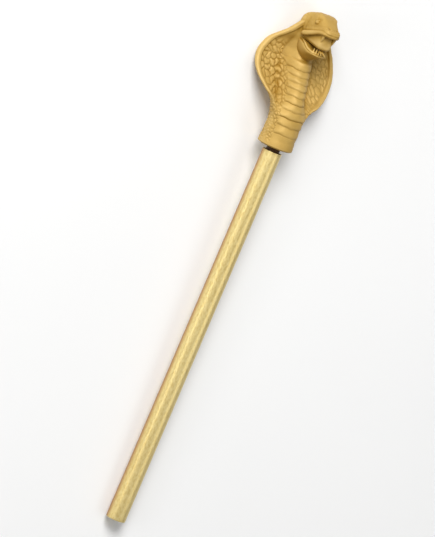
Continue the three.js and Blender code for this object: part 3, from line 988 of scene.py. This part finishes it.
def neighbours_mean(mesh):
    """Function from a value for each point to its mean over the points one edge away."""
    edges = np.empty(len(mesh.edges) * 2, int)
    mesh.edges.foreach_get("vertices", edges)
    a, b = edges.reshape(-1, 2).T
    size = len(mesh.vertices)
    count = np.bincount(a, minlength=size) + np.bincount(b, minlength=size)

    def mean(value):
        return (np.bincount(a, value[b], size) + np.bincount(b, value[a], size)) / count

    return mean


def mark_hollows(mesh):
    """Attribute that is above a half in grooves and below it on ridges."""
    points = coordinates(mesh)
    mean = neighbours_mean(mesh)
    soft = points
    for _ in range(HOLLOW_ROUNDS):
        soft = np.stack([mean(soft[:, k]) for k in range(3)], axis=1)
    depth = ((soft - points) * point_normals(mesh)).sum(axis=1)
    put_attribute(mesh, "hollow", np.clip(0.5 + depth / HOLLOW_REACH / 2, 0, 1))


def nearby_cover(mesh, points, normal):
    """Share of the space over each point that other parts of the mesh take up close by."""
    mesh.calc_loop_triangles()
    faces = np.empty(len(mesh.loop_triangles) * 3, int)
    mesh.loop_triangles.foreach_get("vertices", faces)
    tree = BVHTree.FromPolygons(points.tolist(), faces.reshape(-1, 3).tolist())
    across = np.cross(normal, np.where(np.abs(normal[:, :1]) > 0.7, [0, 1, 0], [1, 0, 0]))
    across /= np.linalg.norm(across, axis=1, keepdims=True)
    aside = np.cross(normal, across)
    start = points + normal * SHELTER_LIFT
    covered = np.zeros(len(points))
    for k in range(SHELTER_RAYS):
        tilt = math.sqrt((k + 0.5) / SHELTER_RAYS)
        turn = k * math.pi * (3 - math.sqrt(5))
        way = normal * math.sqrt(1 - tilt * tilt) + tilt * (
            across * math.cos(turn) + aside * math.sin(turn)
        )
        for i, (at, to) in enumerate(zip(start.tolist(), way.tolist())):
            away = tree.ray_cast(at, to, SHELTER_REACH)[3]
            if away is not None:
                covered[i] += (1 - away / SHELTER_REACH) / SHELTER_RAYS
    return covered


def mark_painted_shade(mesh):
    """Attribute for painted shade, which grows near other parts, under what overhangs, on
    undersides that face the foot and on the skull.
    """
    points = coordinates(mesh)
    normal = point_normals(mesh)
    covered = nearby_cover(mesh, points, normal)
    # Painted shade on undersides that face the foot, away from the light on the head's side
    covered += UNDERSIDE_PAINTED_SHADE * np.clip(-(normal @ ALONG) - 0.1, 0, 1)
    from_foot = (points - FOOT) * 1000
    height, forward = from_foot @ ALONG - COLLAR_AT, from_foot @ FORWARD
    # Painted shade over the skull, between the heights and places forward given above
    on_skull = SKULL_PAINTED_SHADE * smooth(*SKULL_PAINTED_SHADE_HEIGHTS, height)
    covered += on_skull * smooth(*SKULL_PAINTED_SHADE_FORWARD, forward)
    mean = neighbours_mean(mesh)
    for _ in range(SHELTER_ROUNDS):
        covered = (covered + mean(covered)) / 2
    put_attribute(mesh, "painted_shade", covered)


def piece(name, mesh, node, material, sharp):
    """Piece of the object that stands for a node. Edges sharper than an angle stay sharp."""
    mesh.materials.clear()
    mesh.materials.append(material)
    mesh.shade_smooth()
    mesh.set_sharp_from_angle(angle=math.radians(sharp))
    made = bpy.data.objects.new(name, mesh)
    bpy.context.collection.objects.link(made)
    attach(made, "root")
    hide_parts(node)


# Camera, floor and light


def add_camera():
    """Camera at the photograph's angle, with the tube's mouth where it is in the picture."""
    s, c = math.sin, math.cos
    toward = turned_vector(
        -s(CAMERA_ROUND) * c(CAMERA_ABOVE), c(CAMERA_ROUND) * c(CAMERA_ABOVE), s(CAMERA_ABOVE)
    )
    right = turned_vector(c(CAMERA_ROUND), s(CAMERA_ROUND), 0)
    up = turned_vector(
        s(CAMERA_ROUND) * s(CAMERA_ABOVE), -c(CAMERA_ROUND) * s(CAMERA_ABOVE), c(CAMERA_ABOVE)
    )
    across = c(CAMERA_ROLL) * right + s(CAMERA_ROLL) * up
    upward = c(CAMERA_ROLL) * up - s(CAMERA_ROLL) * right
    pixel = MM_PER_PIXEL / 1000
    centre = (
        laid([0, 0, TUBE_LENGTH])
        + (PICTURE[0] / 2 - TUBE_TOP_PIXEL[0]) * pixel * across
        - (PICTURE[1] / 2 - TUBE_TOP_PIXEL[1]) * pixel * upward
    )
    data = bpy.data.cameras.new("camera")
    data.sensor_width = SENSOR
    data.lens = SENSOR * CAMERA_AWAY / (PICTURE[1] * pixel)
    data.clip_start = 0.5
    data.clip_end = 60
    camera = bpy.data.objects.new("camera", data)
    bpy.context.collection.objects.link(camera)
    place = Matrix(np.column_stack([across, upward, toward]).tolist()).to_4x4()
    place.translation = Vector(centre + toward * CAMERA_AWAY)
    camera.matrix_world = place
    bpy.context.scene.camera = camera


def add_floor():
    steps = 24
    line = np.linspace(-FLOOR_HALF, FLOOR_HALF, steps + 1)
    points = [(x, y, FLOOR_LEVEL) for y in line for x in line]
    row = steps + 1
    faces = [
        (j * row + i, j * row + i + 1, (j + 1) * row + i + 1, (j + 1) * row + i)
        for j in range(steps) for i in range(steps)
    ]
    mesh = bpy.data.meshes.new("floor")
    mesh.from_pydata(points, [], faces)
    mesh.materials.append(floor_paint())
    floor = bpy.data.objects.new("floor", mesh)
    bpy.context.collection.objects.link(floor)


def add_light(name, target, direction, distance, size, power):
    """White panel, long and wide as size gives, that faces a target from a direction."""
    data = bpy.data.lights.new(name, "AREA")
    data.shape = "RECTANGLE"
    data.size, data.size_y = size
    data.energy = power
    light = bpy.data.objects.new(name, data)
    bpy.context.collection.objects.link(light)
    direction = Vector(direction).normalized()
    light.location = target + direction * distance
    light.rotation_mode = "QUATERNION"
    light.rotation_quaternion = direction.to_track_quat("Z", "Y")


def add_lights():
    """Soft key and fill, and two panels that draw the light bands down the tube's sides."""
    whole = Vector((0.06, 0, 0.02))
    add_light("key", whole, (0.5, 0.4, 0.6), 3.4, (1.6, 1.6), 116)
    add_light("fill", whole, (0.4, 0.7, 0.9), 3.0, (2.2, 2.2), 10)
    tube = Vector((-0.07, 0, 0.02))
    add_light("left_strip", tube, (-0.12, 0.9, 0.4), 1.5, (0.7, 0.3), 2.8)
    add_light("right_strip", tube, (-0.05, -0.5, 0.87), 1.6, (0.7, 0.9), 3.9)
    world = bpy.data.worlds.new("studio")
    world.use_nodes = True
    background = world.node_tree.nodes["Background"]
    background.inputs["Color"].default_value = (1, 1, 1, 1)
    background.inputs["Strength"].default_value = WORLD_LIGHT
    bpy.context.scene.world = world


add_camera()
add_floor()
add_lights()
bpy.context.scene.view_settings.view_transform = "Standard"

cobra_shape = cobra_mesh()
mark_hollows(cobra_shape)
mark_painted_shade(cobra_shape)
piece("cobra_skin", cobra_shape, "cobra", cobra_paint(), 70)
piece("tube_skin", tube_mesh(), "tube", tube_coating(), 40)
piece("connector_skin", connector_mesh(), "connector", connector_plastic(), 60)
